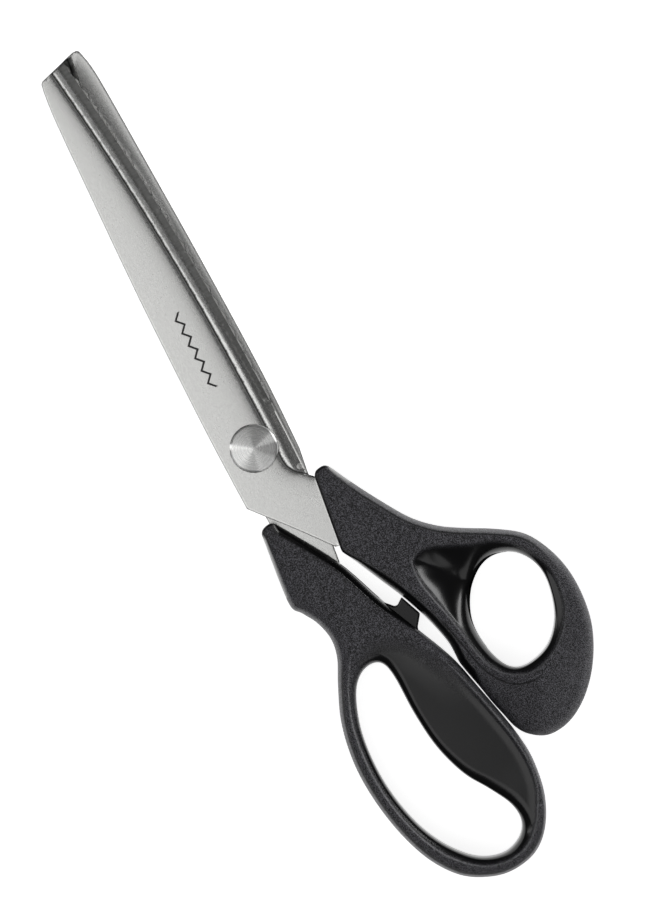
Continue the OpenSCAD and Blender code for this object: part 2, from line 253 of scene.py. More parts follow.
class Handle:
    """One moulded handle: its outline, its hole, the raised line between them and its hollows."""

    def __init__(self, corner, side, hole, ridge, grooves, dip, dip_width, soft_ridge):
        corner = [(x, y, *EDGES[kind]) for x, y, kind in corner]
        side = [(x, y, *EDGES[kind]) for x, y, kind in side]
        outline = np.vstack([np.array(corner), spline(side)])
        outline = counter_clockwise(resampled(outline, 0.3))
        self.outline = resampled(softened(outline, 4), 0.6)
        self.hole = counter_clockwise(resampled(spline(hole, closed=True), 0.6))
        self.ridge = counter_clockwise(resampled(spline(ridge, closed=True), 0.6))
        self.grooves = [resampled(spline(g), 0.5, closed=False) for g in grooves]
        self.dip = dip                    # how deep the grip is hollowed, narrow and wide
        self.dip_width = dip_width
        self.soft_ridge = soft_ridge      # between these two values of x the raised line fades out

    def face(self, p, share):
        """Height of the face above the middle of the handle, with share of the full hollow."""
        half = THICK / 2
        d_out, across = nearest(p, self.outline)
        edge, wall, fall, reach, crease, line, _ = across.T
        z = half - 0.03 - np.maximum(fall, 0) * (1 - np.clip(d_out / reach, 0, 1)) ** 1.6
        d_ridge = nearest(p, self.ridge)[0]
        fade = self.fade(p)
        if share == 1:
            z -= self.parting(p) + line * np.exp(-((d_out - edge) / 0.18) ** 2)
            z -= 0.08 * (1 - (1 - fade) * np.exp(-(d_ridge / 0.35) ** 2))
        z -= self.hollow(p) * share
        d_hole, lip = nearest(p, self.hole)
        width = 0.95 * (d_ridge * inside(p, self.ridge) + d_hole)
        z = rounded(z, d_hole, np.clip(np.minimum(width, lip[:, 0]), 0.6, None), lip[:, 1] - half, 0)
        return rounded(z, d_out, edge, wall - half, crease)

    def parting(self, p):
        """Depth of the fine grooves, which fade out at their ends."""
        depth = np.zeros(len(p))
        for groove in self.grooves:
            ends = np.minimum(
                np.linalg.norm(p - groove[0], axis=1), np.linalg.norm(p - groove[-1], axis=1)
            )
            d = nearest(p, groove, closed=False)[0]
            depth += 0.2 * np.exp(-(d / 0.2) ** 2) * smoothstep(ends, 0, 5)
        return depth

    def hollow(self, p):
        """How far the grip is hollowed below the face, inside the raised line."""
        within = inside(p, self.ridge)
        d_ridge = nearest(p, self.ridge)[0] * within
        width = d_ridge + nearest(p, self.hole)[0]
        wide = smoothstep(width, 2.5, 13)
        dip = self.dip[0] + (self.dip[1] - self.dip[0]) * wide
        run = np.clip(0.75 * width, 1.0, self.dip_width)
        crisp = dip * (1 - (1 - np.clip(d_ridge / run, 0, 1)) ** 2.2)
        soft = 0.5 * dip * smoothstep(d_ridge, 0, 9)
        return crisp + (soft - crisp) * self.fade(p)

    def fade(self, p):
        """1 where the raised line has faded out, 0 where it stands in full."""
        if self.soft_ridge is None:
            return np.zeros(len(p))
        return smoothstep(p[:, 0], *self.soft_ridge)

    def grain(self, p):
        """1 where the mould is textured, 0 where the grip and the closing side are smooth."""
        within = inside(p, self.ridge)
        d_ridge = nearest(p, self.ridge)[0]
        signed = np.where(within, -d_ridge, d_ridge)
        fade = self.fade(p)
        d_out, across = nearest(p, self.outline)
        bare = across[:, 6]
        textured = smoothstep(signed, -1.2, 0.6) * (1 - fade) + smoothstep(signed, -6, 1) * fade
        return textured * np.where(bare > 0.05, smoothstep(d_out, 0.8 * bare, 0.8 * bare + 1.2), 1)

    def painted_highlight(self, p):
        """How bright the highlight painted along the raised line is."""
        d_ridge, highlight_amount = nearest(p, self.ridge)
        return highlight_amount[:, 0] * np.exp(-(d_ridge / 0.2) ** 2)

    def painted_shade(self, p):
        """1 in the parting lines and grooves, where shade is painted in as darkness."""
        d_out, across = nearest(p, self.outline)
        edge, line = across[:, 0], across[:, 5]
        dark = np.clip(line / 0.2, 0, 1) * np.exp(-((d_out - edge) / 0.22) ** 2)
        return np.clip(dark + self.parting(p) / 0.2, 0, 1)


def rounded(z, d, width, wall, crease):
    """Curves a face of height z down to the wall over the last width of distance d."""
    t = 1 - np.clip(d / width, 0, 1)
    z = z - crease * width * t
    return z - (z - wall) * (1 - np.sqrt(np.clip(1 - t * t, 0, 1)))


# ---------------------------------------------------------------- handle meshes

EDGE_STEPS = np.array([0.012, 0.04, 0.09, 0.16, 0.25, 0.36, 0.49, 0.64, 0.8, 0.9, 1.0, 1.1, 1.25])


def offset_rings(line, reach, steps, sign=1, closed=True):
    """Points beside a line at the given shares of reach, without those that cross it elsewhere."""
    n = normals(line, closed)
    out = []
    for s in steps:
        d = reach * s
        q = line[:, :2] + sign * n * np.asarray(d)[..., None]
        near = nearest(q, line, closed)[0]
        out.append(q[near > 0.95 * d])
    return np.vstack(out)


def thinned(points, kept, gap):
    """The points that are at least gap away from every kept point and from each other."""
    cells = {}

    def cell_of(q):
        return int(math.floor(q[0] / gap)), int(math.floor(q[1] / gap))

    def crowded(q):
        i, j = cell_of(q)
        for a in (i - 1, i, i + 1):
            for b in (j - 1, j, j + 1):
                for r in cells.get((a, b), ()):
                    if (r[0] - q[0]) ** 2 + (r[1] - q[1]) ** 2 < gap * gap:
                        return True
        return False

    def put(q):
        cells.setdefault(cell_of(q), []).append(q)

    for q in kept:
        put(q)
    out = []
    for q in points:
        if not crowded(q):
            put(q)
            out.append(q)
    return np.array(out).reshape(-1, 2)


def grid_points(outline, step):
    """A grid of staggered rows over the outline's box."""
    lo, hi = outline[:, :2].min(0), outline[:, :2].max(0)
    return np.array([
        (x + (j % 2) * step / 2, y)
        for j, y in enumerate(np.arange(lo[1], hi[1], step * 0.87))
        for x in np.arange(lo[0], hi[0], step)
    ])


def closed(loop):
    return np.vstack([loop[:, :2], loop[:1, :2]])


def triangulated(outline, holes, lines, points):
    """Points and counter-clockwise triangles that fill the outline round its holes."""
    chains = [closed(outline)] + [closed(h) for h in holes] + lines
    edges, first = [], 0
    for chain in chains:
        edges += [(first + i, first + i + 1) for i in range(len(chain) - 1)]
        first += len(chain)
    flat = np.vstack(chains + [points])
    verts, _, faces, *_ = delaunay_2d_cdt([Vector(p) for p in flat], edges, [], 0, 1e-4)
    xy = np.array([tuple(v) for v in verts])
    tri = np.array([f for f in faces if len(f) == 3])
    mid = xy[tri].mean(1)
    keep = inside(mid, outline)
    for hole in holes:
        keep &= ~inside(mid, hole)
    tri = tri[keep]
    used = np.unique(tri)
    back = np.full(len(xy), -1)
    back[used] = np.arange(len(used))
    xy, tri = xy[used], back[tri]
    a, b, c = xy[tri[:, 0]], xy[tri[:, 1]], xy[tri[:, 2]]
    turn = (b[:, 0] - a[:, 0]) * (c[:, 1] - a[:, 1]) - (b[:, 1] - a[:, 1]) * (c[:, 0] - a[:, 0])
    tri[turn < 0] = tri[turn < 0][:, ::-1]
    return xy, tri


def boundary_edges(tri):
    """Edges that only one triangle has."""
    seen = set()
    for t in tri:
        for k in range(3):
            seen.add((int(t[k]), int(t[(k + 1) % 3])))
    return [e for e in seen if (e[1], e[0]) not in seen]


def sheet_mesh(name, xy, tri, top, under, levels):
    """A closed solid from one flat triangulation: a top face, an underside and walls between."""
    n = len(xy)
    upper = np.column_stack([xy, top])
    lower = np.column_stack([xy, under])
    verts = [upper, lower]
    faces = [tuple(int(i) for i in t) for t in tri]
    faces += [tuple(int(i) + n for i in t[::-1]) for t in tri]
    edge = boundary_edges(tri)
    rim = sorted({v for e in edge for v in e})
    column = {v: [v] for v in rim}
    count = 2 * n
    for level in levels:
        verts.append(upper[rim] * (1 - level) + lower[rim] * level)
        for v in rim:
            column[v].append(count)
            count += 1
    for v in rim:
        column[v].append(v + n)
    for a, b in edge:
        for k in range(len(levels) + 1):
            faces.append((column[b][k], column[a][k], column[a][k + 1], column[b][k + 1]))
    co = np.vstack(verts)
    mesh = bpy.data.meshes.new(name)
    mesh.from_pydata((co * MM).tolist(), [], faces)
    mesh.update()
    mesh.shade_smooth()
    obj = bpy.data.objects.new(name, mesh)
    bpy.context.scene.collection.objects.link(obj)
    return obj


def handle_points(h):
    """Points for a handle's faces: close together across its edges and lines, open elsewhere."""
    loops = np.vstack([h.outline[:, :2], h.hole[:, :2], h.ridge[:, :2]])
    lip = np.minimum(0.95 * nearest(h.hole, h.ridge)[0], h.hole[:, 2])
    ridge_reach = np.ones(len(h.ridge))
    rings = [
        offset_rings(h.outline, h.outline[:, 2], EDGE_STEPS),
        offset_rings(h.hole, lip, EDGE_STEPS, -1),
        offset_rings(h.ridge, ridge_reach, [0.12, 0.3, 0.6, 1.0]),
        offset_rings(h.ridge, ridge_reach, [0.12, 0.3, 0.6], -1),
    ]
    for groove in h.grooves:
        reach = np.ones(len(groove))
        rings.append(groove)
        rings.append(offset_rings(groove, reach, [0.12, 0.25, 0.45], 1, False))
        rings.append(offset_rings(groove, reach, [0.12, 0.25, 0.45], -1, False))
    points = thinned(np.vstack(rings), loops, 0.1)
    filling = thinned(grid_points(h.outline, 0.75), np.vstack([loops, points]), 0.5)
    points = np.vstack([points, filling])
    return points[inside(points, h.outline) & ~inside(points, h.hole)]


def mark_points(obj, name, value):
    layer = obj.data.attributes.new(name, "FLOAT", "POINT")
    layer.data.foreach_set("value", value.astype(np.float32))


def mesh_points(obj):
    co = np.empty(len(obj.data.vertices) * 3)
    obj.data.vertices.foreach_get("co", co)
    return co.reshape(-1, 3) / MM


def handle_mesh(name, h):
    xy, tri = triangulated(h.outline, [h.hole], [closed(h.ridge)], handle_points(h))
    half = THICK / 2
    levels = (0.25, 0.5, 0.75)
    obj = sheet_mesh(name, xy, tri, half + h.face(xy, 1), half - h.face(xy, 0.45), levels)
    flat = mesh_points(obj)[:, :2]
    mark_points(obj, "grain", h.grain(flat))
    # painted shade: the parting lines and grooves are marked to be coloured near black
    mark_points(obj, "painted_shade", h.painted_shade(flat))
    # painted highlight: the raised line's crest is marked to be coloured lighter
    mark_points(obj, "painted_highlight", h.painted_highlight(flat))
    return obj


# ---------------------------------------------------------------- blade shapes
# Both blades are drawn with the cutting edge down. The lower one is turned over when it is placed.
# Heights are above the plane where the blades meet.

MEET = THICK / 2
ARC_R, ARC_X = 764, 6             # the cutting edges are wide arcs
UPPER_EDGE_Y, LOWER_EDGE_Y = -9.1, -7.3      # the lowest points of those arcs
TIP_X, TIP_SLANT = 107.2, 0.333
HALF_TOOTH = 0.9                  # half a tooth's height, root to crest
TOOTH_PITCH, FIRST_TOOTH = 4.0, 14.2
TOOTH_GAP = 0.1                   # the toothed face stands this far from the tooth line
FACE_GAP, RELIEF = 0.05, 1.12     # heights of the bearing face and of the hollow behind the teeth
BEARING = 12.8                    # the blades lie flat on each other inside this radius
BAND = 5.0                        # the teeth reach this far in from the edge
LAND = 3.05                       # height of the flat front
BEVEL_TOP, BEVEL_SLOPE = 0.05, 1.95 / 0.7    # how far in from the edge the bevel starts, its slope
WASHER_SEAT = 5.12                # radius of the flat that a washer lies on
BORE, LOOSE_BORE = 3.0, 3.05      # radius of the pivot hole, fixed and turning on the screw
NOTCH_R = 0.8
SHARP_EDGE, BLUNT_EDGE = 0.001, 0.22         # widths over which the blades' edges are rounded

UPPER_BACK = [
    (103.0, 5.5), (95.0, 6.25), (75.0, 7.1), (45.0, 8.2), (10.0, 8.7), (-12.4, 8.5),
]
UPPER_TIP = [(105.93, 3.8), (105.7, 4.6), (105.1, 5.1)]
UPPER_TANG = [
    (-12.6, 8.45), (-16.3, 5.4), (-20.0, 2.2), (-25.0, -1.9), (-31.2, -6.8), (-31.5, -9.5),
    (-38.0, -15.0), (-43.5, -21.0), (-44.0, -24.0), (-41.0, -25.5), (-33.0, -21.7),
    (-24.0, -16.0), (-15.5, -12.3), (-13.4, -10.5),
]
LOWER_BACK = [
    (107.2, 7.4), (100.0, 8.4), (75.0, 9.3), (45.0, 10.2), (15.0, 10.65), (-5.0, 10.2),
]
LOWER_TIP = [(109.0, 5.4), (109.0, 6.4), (108.6, 7.0)]
LOWER_TANG = [
    (-11.0, 9.3), (-31.0, 6.4), (-35.0, 5.9), (-38.0, 4.6), (-47.0, 7.3), (-54.0, 9.0),
    (-56.5, 7.5), (-57.0, 3.5), (-54.5, -0.4), (-44.0, -3.6), (-37.0, -6.6), (-25.0, -6.2),
    (-19.0, -5.2), (-14.5, -5.4),
]
GRIND_END = [
    (-3.0, -4.98), (-6.0, -4.95), (-7.9, -5.35), (-9.8, -6.5), (-11.3, -8.3), (-13.4, -10.4),
]
# Across the front grind: distance from its upper border, and slope in degrees
GRIND_SLOPE = [
    (0.0, -3.0), (0.5, -3.0), (0.8, -1.5), (1.1, 0.0), (1.5, 4.0), (1.75, 7.0), (1.95, 13.0),
    (2.15, 12.0), (2.35, 6.0), (12.0, 5.0),
]
# Distances from that border at which rows of mesh points follow it
GRIND_RINGS = (
    -6.0, -5.0, -4.2, -3.5, -3.0, -2.5, -2.0, -1.6, -1.3, -0.9, -0.6, -0.45, -0.3, -0.18, -0.08,
    0.2, 0.5, 0.8, 1.1, 1.5, 1.75, 1.95, 2.15, 2.4,
)


class Blade:
    """One toothed blade."""

    def __init__(self, back, tip, tang, edge_y, heel_x, side, seat_on_front, notch):
        self.edge_y = edge_y
        self.side = side
        self.seat_on_front = seat_on_front
        edge = self.cutting_edge(heel_x)
        body = np.vstack([tip, spline(back, 12), tang])
        body = divided(body, 0.6)
        self.back_line = body[: int(len(body) * 0.62)]
        parts = [np.column_stack([edge, np.full(len(edge), SHARP_EDGE)])]
        parts.append(np.column_stack([body, np.full(len(body), BLUNT_EDGE)]))
        self.outline = np.vstack(parts)
        self.holes = [circle((0, 0), LOOSE_BORE if seat_on_front else BORE, 48)]
        if notch:
            self.holes.append(circle(notch, NOTCH_R, 20))
        x = np.arange(tip[0][0] + 1.5, -3.0, -0.8)
        straight = np.column_stack([x, self.line_y(x, 4.0)])
        turn = np.array(GRIND_END) + (0, edge_y - UPPER_EDGE_Y)
        self.grind = resampled(np.vstack([straight, spline(turn, 8)]), 0.8, closed=False)
        self.ground = np.vstack([self.grind, [(-13.4, -30), (150, -30), (150, self.grind[0, 1])]])

    def line_y(self, x, inset):
        """Y of the line that lies inset from the edge arc."""
        return self.edge_y + ARC_R - np.sqrt((ARC_R - inset) ** 2 - (x - ARC_X) ** 2)

    def inset(self, p):
        return ARC_R - np.hypot(p[:, 0] - ARC_X, p[:, 1] - self.edge_y - ARC_R)

    def teeth(self, r):
        """Height of the zigzag against the distance from the pivot."""
        phase = (r - FIRST_TOOTH) / TOOTH_PITCH
        wave = 1 - 4 * np.abs(phase - np.floor(phase + 0.5))
        crest = -self.side * HALF_TOOTH * wave + TOOTH_GAP
        return np.where(r < FIRST_TOOTH - 0.8, 0.3, crest)

    def cutting_edge(self, heel_x):
        """The edge seen from above: it waves in and out where the teeth meet the bevel."""
        x = np.arange(heel_x, TIP_X + 4, 0.25)
        y = self.line_y(x, -0.2)
        for _ in range(3):
            r = np.hypot(x, y)
            height = np.where((r > BEARING) & (x > 5), self.teeth(r), FACE_GAP)
            y = self.line_y(x, BEVEL_TOP - (1 - height) / BEVEL_SLOPE)
        keep = x < TIP_X - self.side * TIP_SLANT * y
        return np.column_stack([x, y])[keep]

    def front(self, p):
        """The outer face: flat, rolled over into the hollow of the grind, then the bevel."""
        d = nearest(p, self.grind, closed=False)[0]
        across = np.where(inside(p, self.ground), d, -d)
        behind = np.maximum(-across, 0)
        roll = 0.21 * 0.45 * np.exp(-behind / 0.45) + 0.052 * 2 * np.exp(-behind / 2)
        shoulder = 0.05 * (1 - np.clip(behind / 0.4, 0, 1)) ** 2
        z = LAND - roll - shoulder
        step = 0.02
        at = np.arange(0, 12, step)
        slopes = np.array(GRIND_SLOPE)
        fall = np.tan(np.radians(np.interp(at, slopes[:, 0], slopes[:, 1])))
        drop = np.cumsum(fall) * step
        outer = smoothstep(p[:, 0], 12, 50)
        bead = 1.25 - 0.08 * outer - np.interp(across, at, drop)
        bead += 0.044 * outer * np.maximum(across - 2.25, 0)
        floor = np.minimum(bead, 1 + (self.inset(p) - BEVEL_TOP) * (0.115 - 0.05 * outer))
        z = np.where(across > 0.02, floor, z)
        z = np.minimum(z, 1 - (BEVEL_TOP - self.inset(p)) * BEVEL_SLOPE + 50 * (across < 0))
        if self.seat_on_front:
            r = np.hypot(p[:, 0], p[:, 1])
            z = np.where(r < WASHER_SEAT, 2.5, z)
        return z

    def inner(self, p):
        """The meeting face: bearing flat, teeth along the edge and a hollow behind them."""
        r = np.hypot(p[:, 0], p[:, 1])
        inset = self.inset(p)
        in_band = (r > BEARING) & (p[:, 0] > 5) & (inset < BAND + 0.03)
        relieved = (r > BEARING - 0.3) & (p[:, 0] > 2)
        wide = np.interp(p[:, 0], [10, 35, 55, 75, 95, 106], [1.5, 1.7, 2.1, 2.7, 4.4, 5.5])
        d_back = nearest(p, self.back_line, closed=False)[0]
        thin = np.maximum(0.05 * wide + 0.01 * d_back - 0.06 * d_back ** 2 / wide, 0)
        z = np.where(relieved, RELIEF, FACE_GAP)
        strip = np.interp(p[:, 0], [-9, -4, 16], [FACE_GAP, 0.3, RELIEF])
        z = strip + (z - strip) * smoothstep(d_back, wide, wide + 1.2) + thin
        z = np.where(in_band, self.teeth(r), z)
        if not self.seat_on_front:
            z = np.where(r < WASHER_SEAT, 0.55, z)
        return z

    def lines(self):
        """Feature lines that the mesh must follow."""
        out = [self.grind, self.offset_line(0.04)]
        x = np.arange(6, TIP_X + 4, 0.8)
        for inset in (BEVEL_TOP, BAND, BAND + 0.06):
            out.append(np.column_stack([x, self.line_y(x, inset)]))
        for r in np.arange(FIRST_TOOTH, 113, TOOTH_PITCH / 2):
            out.append(self.crest(r))
        out.append(closed(circle((0, 0), WASHER_SEAT - 0.03, 48)))
        out.append(closed(circle((0, 0), WASHER_SEAT + 0.03, 48)))
        return [line for line in out if len(line) > 1]

    def offset_line(self, d):
        n = normals(self.grind, closed=False)
        return self.grind + n * d

    def crest(self, r):
        angle = np.radians(np.arange(-62, 62, 0.2))
        arc = np.column_stack([r * np.cos(angle), r * np.sin(angle)])
        inset = self.inset(arc)
        arc = arc[(inset > -1) & (inset < BAND + 0.06) & (arc[:, 0] > 5)]
        return resampled(arc, 0.5, closed=False) if len(arc) > 2 else arc


def circle(middle, radius, count):
    a = np.linspace(0, 2 * math.pi, count, endpoint=False)
    return np.column_stack([middle[0] + radius * np.cos(a), middle[1] + radius * np.sin(a)])


def blade_mesh(name, b, turned_over):
    """The blade's mesh. Its lines cross its outline, so they are trimmed to it first."""
    lines = []
    for line in b.lines():
        fine = resampled(line, 0.5, closed=False)
        ok = inside(fine, b.outline) & (nearest(fine, b.outline)[0] > 0.05)
        runs = np.split(np.arange(len(fine)), np.nonzero(np.diff(ok.astype(int)))[0] + 1)
        lines += [fine[run] for run in runs if ok[run[0]] and len(run) > 1]
    rounds = np.full(len(b.outline), BLUNT_EDGE)
    rings = [offset_rings(b.outline, rounds, [0.15, 0.4, 0.7, 1.0, 2.5])]
    rings.append(offset_rings(b.outline, np.ones(len(b.outline)), [1.0, 1.5, 2.1, 2.8, 3.6, 4.5]))
    for d in GRIND_RINGS:
        rings.append(b.offset_line(d))
    fixed = np.vstack([b.outline[:, :2]] + b.holes + lines)
    points = thinned(np.vstack(rings), fixed, 0.05)
    filling = thinned(grid_points(b.outline, 1.1), np.vstack([fixed, points]), 0.6)
    points = np.vstack([points, filling])
    keep = inside(points, b.outline)
    for hole in b.holes:
        keep &= ~inside(points, hole)
    xy, tri = triangulated(b.outline, b.holes, lines, points[keep])
    front, inner = b.front(xy), b.inner(xy)
    d_out, width = nearest(xy, b.outline)
    width = width[:, 0]
    front = rounded(front, d_out, width, front - 0.15 * (width > 0.1), 0)
    inner = -rounded(-inner, d_out, width, -inner - 0.12 * (width > 0.1), 0)
    front = np.maximum(front, inner + 0.03)
    obj = sheet_mesh(name, xy, tri, front, inner, (0.5,))
    co = mesh_points(obj)
    inset = b.inset(co)
    toothed = (co[:, 2] < 1.1) & (inset < BAND) & (co[:, 0] > 8)
    # painted shade: the teeth and the bevel are marked to be coloured near black, and made rougher
    mark_points(obj, "milled_and_shaded", (toothed | (inset < BEVEL_TOP + 0.01)) & (co[:, 0] > -12))
    d_grind = nearest(co, b.grind, False)[0]
    mark_points(obj, "ground", smoothstep(inside(co, b.ground) * d_grind, 0.4, 2.3))
    rim = nearest(co, b.outline)[0]
    rim[co[:, 1] < b.line_y(co[:, 0], 1.0)] = 1
    # painted shade: a dark line along the grind crease and a dark outline round the blade
    crease_shade = np.exp(-(d_grind / 0.2) ** 2)
    rim_shade = 0.9 * np.exp(-(rim / 0.14) ** 2)
    mark_points(obj, "painted_shade", np.maximum(crease_shade, rim_shade))
    if turned_over:
        co[:, 1:] *= -1
    co[:, 2] += MEET
    obj.data.vertices.foreach_set("co", (co * MM).ravel())
    obj.data.update()
    obj.data.set_sharp_from_angle(angle=math.radians(32))
    return obj


# ---------------------------------------------------------------- other shapes

# Half the pivot screw's outline, radius and height, from the middle of its head down
SCREW = [
    (0.0, 10.97), (0.3, 10.95), (1.5, 10.76), (3.0, 10.5), (4.5, 10.22), (5.3, 10.07), (5.6, 10.0),
    (5.82, 9.9), (5.98, 9.76), (6.07, 9.6), (6.1, 9.45), (6.1, 9.3), (6.04, 9.16), (5.9, 9.1),
    (3.0, 9.1), (3.0, 2.95), (2.5, 2.95), (2.5, 0.6), (2.2, 0.3), (0.0, 0.3),
]
STOP = [
    (-48.6, -10.6), (-50.3, -12.2), (-51.2, -13.0), (-51.3, -13.8), (-50.0, -15.6), (-55.7, -17.85),
    (-57.5, -16.5), (-58.4, -15.8), (-59.4, -15.5), (-60.0, -13.5), (-52.0, -9.0),
]


def lathe_mesh(name, outline, count=128):
    """A solid turned about the Z axis. The outline starts and ends on the axis."""
    verts = [(0, 0, outline[0][1])]
    for r, z in outline[1:-1]:
        verts += [(*xy, z) for xy in circle((0, 0), r, count)]
    verts.append((0, 0, outline[-1][1]))
    last = len(verts) - 1
    faces = [(0, 1 + i, 1 + (i + 1) % count) for i in range(count)]
    for k in range(len(outline) - 3):
        a, b = 1 + k * count, 1 + (k + 1) * count
        for i in range(count):
            j = (i + 1) % count
            faces.append((a + j, a + i, b + i, b + j))
    a = 1 + (len(outline) - 3) * count
    faces += [(last, a + (i + 1) % count, a + i) for i in range(count)]
    mesh = bpy.data.meshes.new(name)
    mesh.from_pydata([tuple(c * MM for c in v) for v in verts], [], faces)
    mesh.update()
    mesh.shade_smooth()
    mesh.set_sharp_from_angle(angle=math.radians(40))
    obj = bpy.data.objects.new(name, mesh)
    bpy.context.scene.collection.objects.link(obj)
    return obj


def stop_mesh(name):
    """The block that the handles close against. It grows out of the finger handle's side."""
    outline = softened(counter_clockwise(resampled(np.array(STOP), 0.2)), 2)
    reach = np.full(len(outline), 0.5)
    rings = offset_rings(outline, reach, [0.1, 0.3, 0.6, 1.0])
    points = thinned(np.vstack([rings, grid_points(outline, 0.6)]), outline, 0.08)
    xy, tri = triangulated(outline, [], [], points[inside(points, outline)])
    d = nearest(xy, outline)[0]
    top = rounded(np.full(len(xy), 8.2), d, 0.3, 7.9, 0)
    obj = sheet_mesh(name, xy, tri, top, THICK - top, (0.5,))
    mark_points(obj, "grain", np.zeros(len(obj.data.vertices)))
    return obj


# ---------------------------------------------------------------- materials

class Nodes:
    """A small helper that adds and links shader nodes."""

    def __init__(self, name):
        self.material = bpy.data.materials.new(name)
        self.material.use_nodes = True
        self.tree = self.material.node_tree
        self.shader = self.tree.nodes["Principled BSDF"]

    def add(self, kind, **values):
        node = self.tree.nodes.new(kind)
        for key, value in values.items():
            setattr(node, key, value)
        return node

    def link(self, source, target):
        self.tree.links.new(source, target)

    def math(self, operation, a, b=None, c=None):
        node = self.tree.nodes.new("ShaderNodeMath")
        node.operation = operation
        for socket, value in zip(node.inputs, (a, b, c)):
            if value is None:
                continue
            if isinstance(value, (int, float)):
                socket.default_value = value
            else:
                self.tree.links.new(value, socket)
        return node.outputs[0]

    def ramp(self, value, low, high, to_low=0.0, to_high=1.0):
        node = self.tree.nodes.new("ShaderNodeMapRange")
        node.interpolation_type = "SMOOTHSTEP"
        for key, v in (("From Min", low), ("From Max", high), ("To Min", to_low), ("To Max", to_high)):
            node.inputs[key].default_value = v
        self.tree.links.new(value, node.inputs["Value"])
        return node.outputs[0]

    def place(self):
        return self.add("ShaderNodeTexCoord").outputs["Object"]

    def noise(self, place, size, detail=2.0, stretch=(1, 1, 1)):
        """Noise whose features are about size across, in metres."""
        mapping = self.add("ShaderNodeMapping")
        mapping.inputs["Scale"].default_value = [s / size for s in stretch]
        self.link(place, mapping.inputs["Vector"])
        node = self.add("ShaderNodeTexNoise")
        node.inputs["Scale"].default_value = 1.0
        node.inputs["Detail"].default_value = detail
        self.link(mapping.outputs[0], node.inputs["Vector"])
        return node.outputs["Fac"]

    def bump(self, height, depth, strength=1.0, after=None):
        node = self.add("ShaderNodeBump")
        node.inputs["Strength"].default_value = strength
        node.inputs["Distance"].default_value = depth
        self.link(height, node.inputs["Height"])
        if after is not None:
            self.link(after, node.inputs["Normal"])
        return node.outputs[0]

    def mix(self, factor, a, b):
        node = self.add("ShaderNodeMix")
        node.data_type = "RGBA"
        for socket, value in ((node.inputs[0], factor), (node.inputs[6], a), (node.inputs[7], b)):
            if isinstance(value, (tuple, list)):
                socket.default_value = (*value, 1)
            else:
                self.tree.links.new(value, socket)
        return node.outputs[2]

    def set(self, **values):
        for key, value in values.items():
            socket = self.shader.inputs[key.replace("_", " ")]
            if isinstance(value, (int, float)):
                socket.default_value = value
            elif isinstance(value, (tuple, list)):
                socket.default_value = (*value, 1)
            else:
                self.tree.links.new(value, socket)


def plastic_material():
    """Black moulded plastic: fine texture whose light specks are partly painted glints, smooth and
    glossier in the grips.
    """
    m = Nodes("handle_plastic")
    place = m.place()
    textured = m.add("ShaderNodeAttribute", attribute_name="grain").outputs["Fac"]
    painted_shade = m.add("ShaderNodeAttribute", attribute_name="painted_shade").outputs["Fac"]
    painted_highlight = m.add("ShaderNodeAttribute", attribute_name="painted_highlight").outputs["Fac"]
    fine = m.noise(place, 0.0002, 0.0)
    broad = m.noise(place, 0.012, 2.0)
    height = m.math("MULTIPLY", fine, textured)
    scuff = m.bump(m.noise(place, 0.004, 3.0), 0.00002, 0.15)
    # partly the texture's own grain, partly painted glints: light specks in the colour stand in for its
    # sparkle
    specks = m.math("MULTIPLY", m.ramp(fine, 0.44, 0.62), textured)
    color = m.mix(specks, (0.006, 0.006, 0.0065), (0.16, 0.157, 0.178))
    # painted highlight: the raised line's crest is lightened as if it caught the light
    highlight_amount = m.math("MULTIPLY", painted_highlight, m.ramp(fine, 0.3, 0.6, 0.35, 0.9))
    color = m.mix(highlight_amount, color, (0.5, 0.5, 0.52))
    m.set(
        # painted shade: the parting lines and grooves are coloured near black
        Base_Color=m.mix(painted_shade, color, (0.002, 0.002, 0.002)),
        Roughness=m.math("ADD", m.ramp(textured, 0, 1, 0.17, 0.36), m.math("MULTIPLY", broad, 0.06)),
        Normal=m.bump(height, 0.0002, 1.0, scuff),
    )
    m.shader.inputs["Specular IOR Level"].default_value = 0.45
    return m.material


def steel_material(name, mark=False):
    """Satin stainless steel: finely grained, scored where it is ground, rougher on the teeth; the teeth,
    the bevel, the grind crease and the outline carry painted shade.
    """
    m = Nodes(name)
    place = m.place()
    milled_and_shaded = m.add("ShaderNodeAttribute", attribute_name="milled_and_shaded").outputs["Fac"]
    ground = m.add("ShaderNodeAttribute", attribute_name="ground").outputs["Fac"]
    painted_shade = m.add("ShaderNodeAttribute", attribute_name="painted_shade").outputs["Fac"]
    fine = m.noise(place, 0.0003, 3.0, (0.35, 1, 1))
    scores = m.math("MULTIPLY", m.noise(place, 0.0004, 3.0, (1, 0.1, 0.1)), ground)
    wide = m.noise(place, 0.005, 2.0, (0.5, 1, 1))
    color = m.mix(wide, (0.73, 0.73, 0.715), (0.77, 0.77, 0.755))
    # painted shade: the teeth and the bevel are coloured near black
    color = m.mix(m.math("MULTIPLY", milled_and_shaded, 0.8), color, (0.07, 0.07, 0.068))
    streaks = m.math("MULTIPLY", m.ramp(scores, 0.2, 0.7), 0.25)
    color = m.mix(streaks, color, (0.5, 0.5, 0.49))
    # painted shade: the grind crease and the blade's outline are coloured near black
    color = m.mix(painted_shade, color, (0.02, 0.02, 0.02))
    rough = m.math("ADD", m.ramp(fine, 0.3, 0.7, 0.22, 0.26), m.math("MULTIPLY", wide, 0.03))
    rough = m.math("ADD", rough, m.math("MULTIPLY", milled_and_shaded, 0.12))
    rough = m.math("ADD", rough, m.math("MULTIPLY", painted_shade, 0.4))
    if mark:
        etched = etched_zigzag(m, place)
        color = m.mix(etched, color, (0.07, 0.07, 0.07))
        rough = m.math("ADD", rough, m.math("MULTIPLY", etched, 0.3))
    m.set(
        Base_Color=color, Metallic=1.0, Roughness=rough,
        Normal=m.bump(scores, 0.00002, 0.7, m.bump(fine, 0.00001, 0.15)),
    )
    return m.material


